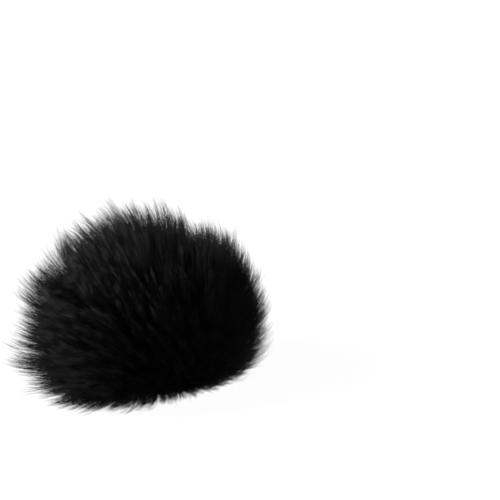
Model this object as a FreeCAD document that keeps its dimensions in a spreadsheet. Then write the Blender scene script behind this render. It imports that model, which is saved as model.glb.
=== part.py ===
import FreeCAD, Part
import math
import os
import Sketcher

# Furry windscreen for a small clip-on microphone, in millimetres. A cap of long pile, sewn from four gores
# of knitted fur fabric and drawn in at its mouth by an elastic, is worn over a foam core. A rubber grip in
# the foam's mouth takes the microphone. The windscreen stands on its mouth: +Z is up, out of the crown, and
# the origin lies on the supporting surface under the middle of the mouth.

DIMENSIONS = [
    ("pile_radius", 23.5, "outside of the pile at its widest"),
    ("pile_centre_level", 9.5, "height of the widest ring, and centre of the domed upper half"),
    ("pile_foot_radius", 17.0, "outer edge of the flattened pile that the windscreen stands on"),
    ("backing_radius", 9.5, "outside of the knitted backing"),
    ("backing_thickness", 0.9, "knitted backing of the fur fabric"),
    ("backing_shoulder_level", 5.2, "where the backing starts to draw in towards the mouth"),
    ("edge_radius", 8.9, "outside of the backing's raw edge, inside the binding"),
    ("edge_thickness", 0.8, "backing squeezed by the binding"),
    ("edge_bottom_level", 1.8, "lower end of the raw edge"),
    ("edge_top_level", 3.6, "upper end of the drawn-in edge"),
    ("crown_hole_radius", 0.45, "where the points of the four gores meet"),
    ("allowance_width", 0.8, "thickness of each turned-in seam allowance"),
    ("allowance_reach", 0.85, "how far a seam allowance stands into the cap"),
    ("allowance_start_radius", 1.0, "where the allowances are trimmed away at the crown"),
    ("seam_gap_angle", 0.3, "half the angle between two neighbouring gores, in degrees"),
    ("skin_gap", 0.05, "air between parts that only lie against each other"),
    ("binding_inner_radius", 7.75, "mouth of the cap, stretched over the foam"),
    ("binding_outer_radius", 9.25, "outside of the binding tape"),
    ("binding_thickness", 0.3, "binding tape"),
    ("binding_bottom_level", 0.35, "fold of the binding tape"),
    ("binding_top_level", 3.2, "edges of the binding tape"),
    ("elastic_ring_radius", 8.5, "centre line of the elastic"),
    ("elastic_cord_radius", 0.3, "elastic cord"),
    ("elastic_level", 1.1, "height of the elastic"),
    ("sleeve_radius", 0.42, "sleeve that joins the ends of the elastic"),
    ("sleeve_angle", 34.0, "turn that the sleeve covers, in degrees"),
    ("thread_radius", 0.11, "sewing thread"),
    ("seam_stitch_length", 1.9, "a stitch through two seam allowances"),
    ("hem_stitch_inner_radius", 7.68, "inner end of a stitch through the mouth"),
    ("hem_stitch_length", 1.65, "a stitch through both legs of the binding"),
    ("hem_stitch_level", 2.5, "height of the row of stitches round the mouth"),
    ("knot_radius", 0.75, "thread knot outside the crown"),
    ("knot_height", 0.9, "thread knot outside the crown"),
    ("inner_knot_radius", 0.6, "thread knot inside the crown"),
    ("inner_knot_height", 0.5, "thread knot inside the crown"),
    ("tack_radius", 0.35, "thread through the crown"),
    ("foam_radius", 7.4, "outside of the foam core"),
    ("foam_centre_level", 12.4, "centre of the round end of the foam, and of the backing's dome"),
    ("foam_bottom_level", 1.0, "lower face of the foam"),
    ("foam_rim_round", 0.8, "rounding of the foam's lower edge"),
    ("pocket_radius", 3.4, "pocket in the foam for the head of the microphone"),
    ("pocket_top_level", 14.0, "end of the pocket"),
    ("grip_bore_radius", 3.2, "bore that grips the microphone"),
    ("grip_bore_chamfer", 0.3, "chamfer of the bore at both ends"),
    ("grip_sleeve_radius", 4.6, "sleeve of the grip inside the foam"),
    ("grip_top_level", 6.0, "upper end of the grip"),
    ("flange_radius", 6.4, "flange under the foam"),
    ("flange_thickness", 0.95, "flange under the foam"),
    ("flange_round", 0.4, "rounding of the flange's outer edge"),
    ("barb_radius", 5.1, "barb that holds the grip in the foam"),
    ("barb_bottom_level", 4.2, "square side of the barb"),
    ("barb_top_level", 5.2, "tapered end of the barb"),
]

# Each gore is centred on one side of the windscreen: -Y is the front.
GORE_START_ANGLES = {"front": 225.0, "right": 315.0, "back": 45.0, "left": 135.0}
SEAM_ANGLES = (45.0, 135.0, 225.0, 315.0)
GORE_TURN = 90.0
SIDE_STITCHES = 4
DOME_STITCHES = 6
DOME_STITCH_END = 72.0
HEM_STITCHES = 24
SLEEVE_START_ANGLE = 73.0
UP = FreeCAD.Vector(0, 0, 1)


class Size:
    """A number together with the sheet formula that gives it."""

    def __init__(self, number, formula):
        self.number = number
        self.formula = formula

    def combined(self, sign, other, number):
        return Size(number, f"({self.formula} {sign} {sized(other).formula})")

    def __add__(self, other):
        return self.combined("+", other, self.number + sized(other).number)

    def __sub__(self, other):
        return self.combined("-", other, self.number - sized(other).number)

    def __mul__(self, other):
        return self.combined("*", other, self.number * sized(other).number)

    def __truediv__(self, other):
        return self.combined("/", other, self.number / sized(other).number)

    def root(self):
        return Size(math.sqrt(self.number), f"sqrt({self.formula})")


def sized(value):
    return value if isinstance(value, Size) else Size(float(value), str(float(value)))


def make_sheet(document):
    """The driving dimensions, each in a cell with its name as the alias."""
    sheet = document.addObject("Spreadsheet::Sheet", "Dims")
    sizes = {}
    for row, (alias, number, meaning) in enumerate(DIMENSIONS, start=1):
        sheet.set(f"A{row}", alias)
        sheet.set(f"B{row}", str(number))
        sheet.set(f"C{row}", meaning)
        sheet.setAlias(f"B{row}", alias)
        sizes[alias] = Size(number, f"Dims.{alias}")
    document.recompute()
    return sizes


doc = FreeCAD.newDocument("furry_windscreen")
size = make_sheet(doc)
ZERO = sized(0.0)
FULL_TURN = sized(360.0)


def bind(target, prop, value):
    target.setExpression(prop, sized(value).formula)


def plane_of(body, role):
    return next(feature for feature in body.Origin.OriginFeatures if feature.Role == role)


def arc_through(start, end, bend):
    """The arc from start to end, bulging to the right of the way when bend is positive."""
    chord = end - start
    sagitta = abs(bend) - math.sqrt(max(bend * bend - chord.Length**2 / 4, 0.0))
    to_the_right = FreeCAD.Vector(chord.y, -chord.x, 0).normalize()
    middle = (start + end) * 0.5 + to_the_right * math.copysign(sagitta, bend)
    return Part.Arc(start, middle, end) if bend > 0 else Part.Arc(end, middle, start)


def outline(body, name, corners):
    """A closed outline of radius and height, walked anticlockwise.

    A corner is (radius, height), or (radius, height, bend, sign) where an arc of radius bend runs on to the
    next corner: outwards for sign 1 and inwards for sign -1.
    """
    sketch = body.newObject("Sketcher::SketchObject", name)
    sketch.AttachmentSupport = (plane_of(body, "XZ_Plane"), "")
    sketch.MapMode = "FlatFace"
    points = [FreeCAD.Vector(corner[0].number, corner[1].number, 0) for corner in corners]
    ends = []
    for index, corner in enumerate(corners):
        start, end = points[index], points[(index + 1) % len(points)]
        if len(corner) == 2:
            sketch.addGeometry(Part.LineSegment(start, end))
            ends.append((1, 2))
        else:
            sketch.addGeometry(arc_through(start, end, corner[2].number * corner[3]))
            ends.append((1, 2) if corner[3] > 0 else (2, 1))
            radius = sketch.addConstraint(Sketcher.Constraint("Radius", index, corner[2].number))
            bind(sketch, f"Constraints[{radius}]", corner[2])
    for index, corner in enumerate(corners):
        following = (index + 1) % len(corners)
        sketch.addConstraint(
            Sketcher.Constraint("Coincident", index, ends[index][1], following, ends[following][0])
        )
        for kind, value in (("DistanceX", corner[0]), ("DistanceY", corner[1])):
            pin = sketch.addConstraint(
                Sketcher.Constraint(kind, -1, 1, index, ends[index][0], value.number)
            )
            bind(sketch, f"Constraints[{pin}]", value)
    return sketch


def revolve(body, name, corners, turn=FULL_TURN):
    """The outline turned about the vertical axis, anticlockwise from +X."""
    sketch = outline(body, f"{name}_outline", corners)
    feature = body.newObject("PartDesign::Revolution", name)
    feature.Profile = sketch
    feature.ReferenceAxis = (sketch, ["V_Axis"])
    bind(feature, "Angle", turn)
    return feature


def new_body(label, start_angle=0.0):
    body = doc.addObject("PartDesign::Body", label)
    body.Label = label
    body.Placement = FreeCAD.Placement(FreeCAD.Vector(), FreeCAD.Rotation(UP, start_angle))
    return body


def dome_height(radius, ring):
    """Height at radius ring of a dome of the given radius on the foam's centre."""
    return size["foam_centre_level"] + (radius * radius - ring * ring).root()


def make_backing(label, start_angle):
    """One gore of knitted backing, with its two seam allowances turned into the cap."""
    body = new_body(label, start_angle + size["seam_gap_angle"].number)
    outer = size["backing_radius"]
    inner = outer - size["backing_thickness"]
    edge_inner = size["edge_radius"] - size["edge_thickness"]
    centre = size["foam_centre_level"]
    hole = size["crown_hole_radius"]
    shoulder = size["backing_shoulder_level"]
    gore_turn = sized(GORE_TURN) - size["seam_gap_angle"] * 2
    revolve(
        body,
        "shell",
        [
            (edge_inner, size["edge_bottom_level"]),
            (size["edge_radius"], size["edge_bottom_level"]),
            (size["edge_radius"], size["edge_top_level"]),
            (outer, shoulder),
            (outer, centre, outer, 1),
            (hole, dome_height(outer, hole)),
            (hole, dome_height(inner, hole), inner, -1),
            (inner, centre),
            (inner, shoulder),
            (edge_inner, size["edge_top_level"]),
        ],
        gore_turn,
    )
    tip = inner - size["allowance_reach"]
    middle = outer - size["backing_thickness"] / 2
    trimmed = size["allowance_start_radius"]
    allowance_turn = size["allowance_width"] / inner * math.degrees(1.0)
    allowance = revolve(
        body,
        "allowance",
        [
            (tip, shoulder),
            (middle, shoulder),
            (middle, centre, middle, 1),
            (trimmed, dome_height(middle, trimmed)),
            (trimmed, dome_height(tip, trimmed), tip, -1),
            (tip, centre),
        ],
        allowance_turn,
    )
    doc.recompute()
    pair = body.newObject("PartDesign::PolarPattern", "both_allowances")
    pair.Originals = [allowance]
    pair.Axis = (allowance.Profile[0], ["V_Axis"])
    pair.Occurrences = 2
    bind(pair, "Angle", gore_turn - allowance_turn)
    body.Tip = pair
    return body


def make_pile(label, start_angle):
    """The space that one gore's pile fills, from the backing out to its brushed tips."""
    body = new_body(label, start_angle + size["seam_gap_angle"].number)
    reach = size["pile_radius"]
    level = size["pile_centre_level"]
    foot = size["pile_foot_radius"]
    wall = size["backing_radius"] + size["skin_gap"]
    crown = size["allowance_start_radius"]
    inset = reach - foot
    lower_bend = (inset * inset + level * level) / (inset * 2)
    revolve(
        body,
        "pile",
        [
            (wall, ZERO),
            (foot, ZERO, lower_bend, 1),
            (reach, level, reach, 1),
            (crown, level + (reach * reach - crown * crown).root()),
            (crown, dome_height(wall, crown), wall, -1),
            (wall, size["foam_centre_level"]),
        ],
        sized(GORE_TURN) - size["seam_gap_angle"] * 2,
    )
    return body


def make_binding(label):
    """Folded tape round the mouth, holding the raw edges and making the channel for the elastic."""
    body = new_body(label)
    inner = size["binding_inner_radius"]
    outer = size["binding_outer_radius"]
    tape = size["binding_thickness"]
    bottom = size["binding_bottom_level"]
    top = size["binding_top_level"]
    half_width = (outer - inner) / 2
    fold_level = bottom + half_width
    channel = half_width - tape
    revolve(
        body,
        "tape",
        [
            (inner, fold_level, half_width, 1),
            (inner + half_width, bottom, half_width, 1),
            (outer, fold_level),
            (outer, top),
            (outer - tape, top),
            (outer - tape, fold_level, channel, -1),
            (inner + half_width, bottom + tape, channel, -1),
            (inner + tape, fold_level),
            (inner + tape, top),
            (inner, top),
        ],
    )
    return body


def make_elastic(label):
    """Round elastic cord that draws the mouth in."""
    ring = doc.addObject("Part::Torus", label)
    ring.Label = label
    bind(ring, "Radius1", size["elastic_ring_radius"])
    bind(ring, "Radius2", size["elastic_cord_radius"])
    bind(ring, ".Placement.Base.z", size["elastic_level"])
    return ring


def make_elastic_join(label, elastic):
    """Sleeve crimped over the two ends of the elastic, at the back."""
    sleeve = doc.addObject("Part::Torus", "sleeve")
    bind(sleeve, "Radius1", size["elastic_ring_radius"])
    bind(sleeve, "Radius2", size["sleeve_radius"])
    bind(sleeve, "Angle3", size["sleeve_angle"])
    sleeve.Placement.Rotation = FreeCAD.Rotation(UP, SLEEVE_START_ANGLE)
    bind(sleeve, ".Placement.Base.z", size["elastic_level"])
    join = doc.addObject("Part::Cut", label)
    join.Label = label
    join.Base = sleeve
    join.Tool = elastic
    return join


def make_stitch(name, start, direction, length):
    """A straight length of thread."""
    stitch = doc.addObject("Part::Cylinder", name)
    bind(stitch, "Radius", size["thread_radius"])
    bind(stitch, "Height", length)
    stitch.Placement = FreeCAD.Placement(start, FreeCAD.Rotation(UP, direction))
    return stitch


def group(label, members):
    compound = doc.addObject("Part::Compound", label)
    compound.Label = label
    compound.Links = members
    return compound


def seam_stitch_places():
    """Radius and height of each stitch of one seam, up the side and over the dome."""
    inner = size["backing_radius"].number - size["backing_thickness"].number
    ring = inner - size["allowance_reach"].number / 2
    low = size["backing_shoulder_level"].number
    centre = size["foam_centre_level"].number
    for index in range(SIDE_STITCHES):
        yield ring, low + (centre - low) * (index + 0.5) / SIDE_STITCHES
    for index in range(DOME_STITCHES):
        climb = math.radians(DOME_STITCH_END * (index + 0.5) / DOME_STITCHES)
        yield ring * math.cos(climb), centre + ring * math.sin(climb)


def make_seam_stitches(label):
    """Stitches through the two allowances of each of the four seams."""
    stitches = []
    half = size["seam_stitch_length"].number / 2
    for seam_angle in SEAM_ANGLES:
        turn = math.radians(seam_angle)
        outward = FreeCAD.Vector(math.cos(turn), math.sin(turn), 0)
        across = FreeCAD.Vector(-math.sin(turn), math.cos(turn), 0)
        for ring, level in seam_stitch_places():
            start = outward * ring + UP * level - across * half
            stitches.append(make_stitch("seam_stitch", start, across, size["seam_stitch_length"]))
    return group(label, stitches)


def make_hem_stitches(label):
    """Stitches through the binding and the raw edge, all round the mouth."""
    stitches = []
    for index in range(HEM_STITCHES):
        turn = 2 * math.pi * (index + 0.5) / HEM_STITCHES
        outward = FreeCAD.Vector(math.cos(turn), math.sin(turn), 0)
        start = outward * size["hem_stitch_inner_radius"].number + UP * size["hem_stitch_level"].number
        stitches.append(make_stitch("hem_stitch", start, outward, size["hem_stitch_length"]))
    return group(label, stitches)


def make_crown_tack(label):
    """Thread tack that closes the crown, knotted outside and inside."""
    body = new_body(label)
    shank = size["tack_radius"]
    outside = size["foam_centre_level"] + size["backing_radius"] + size["skin_gap"]
    inside = outside - size["backing_thickness"] - size["skin_gap"] * 2
    knot = size["knot_radius"]
    height = size["knot_height"]
    inner_knot = size["inner_knot_radius"]
    inner_height = size["inner_knot_height"]
    knot_bend = (knot * knot + height * height) / (height * 2)
    revolve(
        body,
        "tack",
        [
            (ZERO, inside - inner_height),
            (inner_knot, inside - inner_height / 2),
            (inner_knot, inside),
            (shank, inside),
            (shank, outside),
            (knot, outside, knot_bend, 1),
            (ZERO, outside + height),
        ],
    )
    return body


def make_foam(label):
    """Bullet-shaped open-cell foam with a pocket for the microphone and a seat for the grip."""
    body = new_body(label)
    outer = size["foam_radius"]
    bottom = size["foam_bottom_level"]
    rim = size["foam_rim_round"]
    centre = size["foam_centre_level"]
    gap = size["skin_gap"]
    seat = size["grip_sleeve_radius"] + gap
    groove = size["barb_radius"] + gap
    pocket = size["pocket_radius"]
    seat_top = size["grip_top_level"] + gap
    revolve(
        body,
        "foam",
        [
            (seat, bottom),
            (outer - rim, bottom, rim, 1),
            (outer, bottom + rim),
            (outer, centre, outer, 1),
            (ZERO, centre + outer),
            (ZERO, size["pocket_top_level"]),
            (pocket, size["pocket_top_level"]),
            (pocket, seat_top),
            (seat, seat_top),
            (seat, size["barb_top_level"] + gap),
            (groove, size["barb_bottom_level"] + gap),
            (groove, size["barb_bottom_level"] - gap),
            (seat, size["barb_bottom_level"] - gap),
        ],
    )
    return body


def make_grip(label):
    """Silicone grip: a sleeve in the foam's mouth with a flange under it and a barb that holds it in."""
    body = new_body(label)
    bore = size["grip_bore_radius"]
    chamfer = size["grip_bore_chamfer"]
    sleeve = size["grip_sleeve_radius"]
    flange = size["flange_radius"]
    flange_top = size["flange_thickness"]
    soft_edge = size["flange_round"]
    top = size["grip_top_level"]
    revolve(
        body,
        "grip",
        [
            (bore, chamfer),
            (bore + chamfer, ZERO),
            (flange - soft_edge, ZERO, soft_edge, 1),
            (flange, soft_edge),
            (flange, flange_top),
            (sleeve, flange_top),
            (sleeve, size["barb_bottom_level"]),
            (size["barb_radius"], size["barb_bottom_level"]),
            (sleeve, size["barb_top_level"]),
            (sleeve, top),
            (bore + chamfer, top),
            (bore, top - chamfer),
        ],
    )
    return body


def make_parts():
    """Every piece of the windscreen, by the name of its node, with the number of solids it holds."""
    parts = {}
    for side, start_angle in GORE_START_ANGLES.items():
        parts[f"backing_{side}"] = (make_backing(f"backing_{side}", start_angle), 1)
        parts[f"pile_{side}"] = (make_pile(f"pile_{side}", start_angle), 1)
    seam_stitches = len(SEAM_ANGLES) * (SIDE_STITCHES + DOME_STITCHES)
    elastic = make_elastic("hem_elastic")
    parts["hem_binding"] = (make_binding("hem_binding"), 1)
    parts["hem_elastic"] = (elastic, 1)
    parts["elastic_join"] = (make_elastic_join("elastic_join", elastic), 1)
    parts["seam_stitches"] = (make_seam_stitches("seam_stitches"), seam_stitches)
    parts["hem_stitches"] = (make_hem_stitches("hem_stitches"), HEM_STITCHES)
    parts["crown_tack"] = (make_crown_tack("crown_tack"), 1)
    parts["foam_core"] = (make_foam("foam_core"), 1)
    parts["grip_collar"] = (make_grip("grip_collar"), 1)
    return parts


def check_document(parts):
    """Stops if a feature failed, a sketch is loose or a piece isn't the solid it should be."""
    for item in doc.Objects:
        if "Invalid" in item.State or "Error" in item.State:
            raise RuntimeError(f"{item.Label} failed: {item.State}")
        if item.TypeId == "Sketcher::SketchObject" and not item.FullyConstrained:
            raise RuntimeError(f"{item.Label} is not fully constrained")
    for label, (item, solids) in parts.items():
        shape = item.Shape
        if shape.isNull() or not shape.isValid() or len(shape.Solids) != solids:
            raise RuntimeError(f"{label} is not {solids} valid solids")
        if shape.Volume <= 0:
            raise RuntimeError(f"{label} has no volume")


def main():
    parts = make_parts()
    doc.recompute()
    check_document(parts)
    os.makedirs("parts", exist_ok=True)
    for label, (item, _) in parts.items():
        item.Shape.exportStep(f"parts/{label}.step")
        box = item.Shape.optimalBoundingBox()
        print(
            f"{label}: {item.Shape.Volume:.2f} mm3,",
            f"x {box.XMin:.2f} to {box.XMax:.2f}, y {box.YMin:.2f} to {box.YMax:.2f},",
            f"z {box.ZMin:.2f} to {box.ZMax:.2f}",
        )


main()
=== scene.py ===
import math

import bmesh
import bpy
import numpy as np
from mathutils import Matrix, Vector
from mathutils.kdtree import KDTree


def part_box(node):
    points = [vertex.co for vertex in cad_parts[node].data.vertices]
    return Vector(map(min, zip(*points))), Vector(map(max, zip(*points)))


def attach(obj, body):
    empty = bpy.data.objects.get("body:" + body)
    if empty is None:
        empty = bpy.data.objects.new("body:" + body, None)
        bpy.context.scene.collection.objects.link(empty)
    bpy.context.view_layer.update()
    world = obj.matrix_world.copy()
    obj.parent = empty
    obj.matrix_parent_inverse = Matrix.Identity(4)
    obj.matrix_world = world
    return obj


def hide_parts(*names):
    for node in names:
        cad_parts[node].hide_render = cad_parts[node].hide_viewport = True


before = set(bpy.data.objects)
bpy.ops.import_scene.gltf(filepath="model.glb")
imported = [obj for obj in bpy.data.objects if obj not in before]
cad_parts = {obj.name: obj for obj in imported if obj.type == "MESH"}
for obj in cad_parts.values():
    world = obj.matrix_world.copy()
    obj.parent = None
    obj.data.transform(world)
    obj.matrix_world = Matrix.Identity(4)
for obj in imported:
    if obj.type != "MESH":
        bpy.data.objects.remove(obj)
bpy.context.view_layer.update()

# Lengths below are in millimetres; MM turns them into the metres that Blender works in.
MM = 0.001
SEED = 20
SIDE_AZIMUTH = {"front": 270.0, "right": 0.0, "back": 90.0, "left": 180.0}


def low(node):
    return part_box(node)[0] / MM


def high(node):
    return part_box(node)[1] / MM


# The outside of the pile: a dome on the widest ring, rounded in to a flat foot.
PILE_RADIUS = high("pile_right").x
PILE_LEVEL = high("pile_right").z - PILE_RADIUS
# The knitted cap under it: a dome on a wall that draws in to the binding round the mouth.
CAP_RADIUS = high("backing_right").x
CAP_LEVEL = high("backing_right").z - CAP_RADIUS
CAP_EDGE = high("hem_binding").z
MOUTH_RADIUS = high("hem_binding").x


# ---------------------------------------------------------------- fur

# Shares of the way from the mouth to the crown, on the cap and on the outside of the pile.
ROOT_SHARE_WALL = 0.47
FOOT_SHARE = 0.06
BAND_SHARE = 0.30
# The pile's foot starts this far outside the mouth and is flat out to FOOT_RADIUS.
MOUTH_MARGIN = 1.5
FOOT_RADIUS = 13.0
FLOOR_GAP = 0.12
FLOOR_BLEND = 0.3
# Length of the coat where it is neither fuller nor thinner, as a share of the way from the cap to the
# outside of the CAD pile.
FULLNESS = 1.32
# Places where the coat is fuller or thinner: direction, change of length, half-width in degrees.
SWELLS = (
    ((0.0, 0.0, 1.0), 0.17, 42),
    ((0.97, 0.0, -0.2), -0.13, 34),
    ((0.75, -0.2, -0.6), 0.22, 28),
    ((-0.73, -0.19, -0.65), 0.12, 20),
    ((-1.0, 0.0, 0.1), 0.05, 26),
    ((-0.65, 0.1, 0.76), -0.2, 9),
    ((-0.5, 0.1, 0.87), 0.08, 7),
)
# Partings: direction from the middle, the way across it, push of the tips to each side, and reach.
PARTINGS = (
    ((-0.65, 0.1, 0.76), (-0.76, 0.0, -0.65), 4.4, 2.0),
    ((-0.4, 0.1, 0.92), (-0.91, 0.0, -0.4), 1.6, 0.9),
    ((0.59, 0.1, 0.81), (-0.798, 0.0, 0.603), 2.6, 1.2),
    ((0.85, 0.1, 0.52), (-0.52, 0.0, 0.86), 2.2, 1.2),
    ((-0.309, -0.262, -0.914), (0.951, -0.085, -0.297), 1.0, 1.5),
)
PARTING_BLUR = 0.3
# The pile is brushed away from this direction, just in front of the mouth, towards the crown.
BRUSHED_FROM = np.array([0.5, -0.35, -0.9]) / np.linalg.norm([0.5, -0.35, -0.9])
# How far the tips lean over from straight out.
LAY_LEFT = math.radians(34)
LAY_RIGHT = math.radians(58)
LAY_TOP = math.radians(34)
# The coat is ragged towards this direction in x and z, and EVEN_COAT as ragged on the far side.
RAGGED_SIDE = (-0.6, 0.8)
RAGGED_FROM = -0.05
RAGGED_SPAN = 0.55
EVEN_COAT = 0.35
# How far a strand keeps its way at the root and at the tip, as shares of its length.
ROOT_PULL = 0.30
TIP_PULL = 0.55
# Guides that the hair gathers to, coarse to fine, and how far their tips stray.
TUFTS = 150
TUFT_STRAY = 1.3
LOCKS = 1500
LOCK_STRAY = 0.9
WISPS = 8000
STREAKS = 2800
GUIDE_STRAY = 0.5
# Long guard hair in streaks: the share that is left free, and the most that a streak falls short.
GUARD_HAIRS = 26000
GUARD_STRAY = 0.5
FREE_HAIRS = 0.08
FREE_HOLD = 0.2
GUARD_RANGE = 0.32
STREAK_HOLD = (0.6, 0.92)
# Random lightness of each streak and of each hair in it. With WOOL_SHADE below, this keeps the guard
# hair lighter than the wool, a painted highlight on the outside of the coat.
STREAK_SHADE = (0.45, 1.0)
HAIR_SHADE = (0.7, 1.0)
HAIR_LENGTH = (0.84, 1.03)
# Denser wool in wisps: the least that a wisp falls short, and how much more the shortest does.
WOOL_HAIRS = 54000
WOOL_STRAY = 0.4
WOOL_LESS = 0.05
WOOL_RANGE = 0.46
WISP_HOLD = (0.75, 1.0)
# WOOL_SHADE: the most lightness that wool and underfur get, about half the guard hair's range, as
# painted shade deep in the coat.
WOOL_SHADE = 0.5
# Short underfur, which closes the coat near the cap.
UNDERFUR = 32000
UNDERFUR_STRAY = 0.6
UNDERFUR_SHARE = 0.5
TIP_JITTER = 0.22
# Hair radii at the root, how much thicker the guard hair is, and how far each hair thins to its tip.
THINNEST_HAIR = 0.018
THICKEST_HAIR = 0.032
GUARD_THICKNESS = 1.35
TAPER = 0.55
DARK_HAIR = (0.0048, 0.0048, 0.005, 1)
LIGHT_HAIR = (0.0108, 0.0108, 0.0112, 1)
PARTS_PER_GORE = 5
GOLDEN_TURN = math.pi * (3 - math.sqrt(5))
POINTS_ALONG = np.array([0.0, 0.22, 0.42, 0.6, 0.76, 0.9, 1.0])


def unit(vectors):
    return vectors / np.maximum(np.linalg.norm(vectors, axis=-1, keepdims=True), 1e-9)


def smooth(x):
    x = np.clip(x, 0, 1)
    return x * x * (3 - 2 * x)


def on_ring(radius, azimuth, level):
    return np.stack([radius * np.cos(azimuth), radius * np.sin(azimuth), level], axis=-1)


def cap_surface(climb, azimuth):
    """Places on the knitted cap and their normals. climb runs from 0 at the mouth to 1 at the crown."""
    on_wall = np.clip(climb / ROOT_SHARE_WALL, 0, 1)
    level = CAP_EDGE + (CAP_LEVEL - CAP_EDGE) * on_wall
    radius = MOUTH_RADIUS + (CAP_RADIUS - MOUTH_RADIUS) * smooth(on_wall / 0.2)
    rise = np.clip((climb - ROOT_SHARE_WALL) / (1 - ROOT_SHARE_WALL), 0, 1)
    flat = np.sqrt(1 - rise * rise)
    place = on_ring(radius * flat, azimuth, level + CAP_RADIUS * rise)
    normal = on_ring(flat, azimuth, rise)
    return place, normal


def pile_surface(climb, azimuth):
    """Places on the outside of the pile. climb runs from 0 at the mouth to 1 at the crown."""
    foot = np.clip(climb / FOOT_SHARE, 0, 1)
    band = np.clip((climb - FOOT_SHARE) / BAND_SHARE, 0, 1) * math.pi / 2
    dome = np.clip((climb - FOOT_SHARE - BAND_SHARE) / (1 - FOOT_SHARE - BAND_SHARE), 0, 1)
    inner = MOUTH_RADIUS + MOUTH_MARGIN
    radius = inner + (FOOT_RADIUS - inner) * foot + (PILE_RADIUS - FOOT_RADIUS) * np.sin(band)
    level = PILE_LEVEL * (1 - np.cos(band))
    return on_ring(radius * np.sqrt(1 - dome * dome), azimuth, level + PILE_RADIUS * dome)


def lay_direction(outward):
    """Way in which the pile lies at a place whose outward direction is given."""
    towards = (outward @ BRUSHED_FROM)[:, None]
    brushed = unit(outward * towards - BRUSHED_FROM)
    lay = LAY_LEFT + (LAY_RIGHT - LAY_LEFT) * smooth((outward[:, 0] + 0.9) / 1.3)
    lay = lay + (LAY_TOP - lay) * smooth((outward[:, 2] - 0.6) / 0.4)
    return np.cos(lay)[:, None] * outward + np.sin(lay)[:, None] * brushed


def bezier(start, start_pull, end_pull, end, along):
    t = along[None, :, None]
    s = 1 - t
    return (
        s**3 * start[:, None]
        + 3 * s**2 * t * start_pull[:, None]
        + 3 * s * t**2 * end_pull[:, None]
        + t**3 * end[:, None]
    )


def rays(climb, azimuth, stray):
    """Strand centre lines from the cap to the coat's full length, brushed over towards the crown."""
    root, normal = cap_surface(climb, azimuth)
    tip = pile_surface(climb, azimuth)
    outward = unit(tip - np.array([0.0, 0.0, PILE_LEVEL]))
    tip = root + (tip - root) * coat_length(outward)[:, None] + stray
    across = unit(tip - root)
    long = np.linalg.norm(tip - root, axis=1)[:, None]
    start_way = unit(normal + across)
    end_way = unit(lay_direction(outward) + 0.1 * stray)
    start_pull = root + start_way * long * ROOT_PULL
    end_pull = tip - end_way * long * TIP_PULL
    return bezier(root, start_pull, end_pull, tip, POINTS_ALONG)


def scattered(count, rng, spread):
    """Evenly spread climbs and azimuths with a little disorder."""
    index = np.arange(count)
    climb = (index + 0.5) / count + rng.normal(0, spread / math.sqrt(count), count)
    azimuth = index * GOLDEN_TURN + rng.normal(0, spread * 2 * math.pi / math.sqrt(count), count)
    return np.clip(climb, 0.001, 0.999), azimuth


def nearest(places, guides):
    """Index of the guide nearest to each place."""
    tree = KDTree(len(guides))
    for index, guide in enumerate(guides):
        tree.insert(guide, index)
    tree.balance()
    return np.array([tree.find(place)[1] for place in places])


def pull_to(strands, guides, owner, strength, power):
    """Strands drawn towards their guide, more so towards the tip."""
    weight = strength[:, None] * POINTS_ALONG[None, :] ** power
    return strands + (guides[owner] - strands) * weight[:, :, None]


def coat_length(outward):
    """Share of the full length that the coat has in each direction."""
    length = np.full(len(outward), FULLNESS)
    for way, amount, width in SWELLS:
        middle = np.array(way) / np.linalg.norm(way)
        spread = 1 - math.cos(math.radians(width))
        length = length + amount * np.exp(-((1 - outward @ middle) / spread))
    return length


def coat(count, rng, stray):
    """Strands of the full length all over the cap, and their azimuths."""
    climb, azimuth = scattered(count, rng, 0.5)
    return rays(climb, azimuth, rng.normal(0, stray, (count, 3))), azimuth


def gathered(strands, guides, rng, least, most, power):
    """Strands drawn towards their nearest guide, and its index. Each guide has a strength of its own."""
    owner = nearest(strands[:, -2], guides[:, -2])
    strength = rng.uniform(least, most, len(guides))[owner]
    return pull_to(strands, guides, owner, strength, power), owner


def looseness(strands):
    """How ragged the coat is at each strand: 1 at the upper left, EVEN_COAT at the lower right."""
    outward = unit(strands[:, -1] - np.array([0.0, 0.0, PILE_LEVEL]))
    towards = RAGGED_SIDE[0] * outward[:, 0] + RAGGED_SIDE[1] * outward[:, 2]
    return EVEN_COAT + (1 - EVEN_COAT) * smooth((towards - RAGGED_FROM) / RAGGED_SPAN)


def uneven(strands, rng, most):
    """Lengths between 1 and 1 less most, more equal where the coat is even."""
    return 1 - most * looseness(strands) * rng.random(len(strands))


def parted(strands, rng):
    """Strands pushed to the two sides of each parting, more so towards the tip."""
    moved = strands.copy()
    from_middle = strands[:, -1] - np.array([0.0, 0.0, PILE_LEVEL])
    outward = unit(from_middle)
    distance = np.linalg.norm(from_middle, axis=1)
    for way, across, push, width in PARTINGS:
        across = np.array(across)
        side = (from_middle @ across) - (distance * (np.array(way) @ across))
        side = side + rng.normal(0, PARTING_BLUR, len(side))
        near = smooth((outward @ np.array(way) - 0.6) / 0.25) * rng.uniform(0.5, 1.0, len(side))
        amount = push * near * np.exp(-np.abs(side) / width) * np.tanh(side / 0.5)
        moved = moved + amount[:, None, None] * (POINTS_ALONG**1.3)[None, :, None] * across
    return moved


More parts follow.
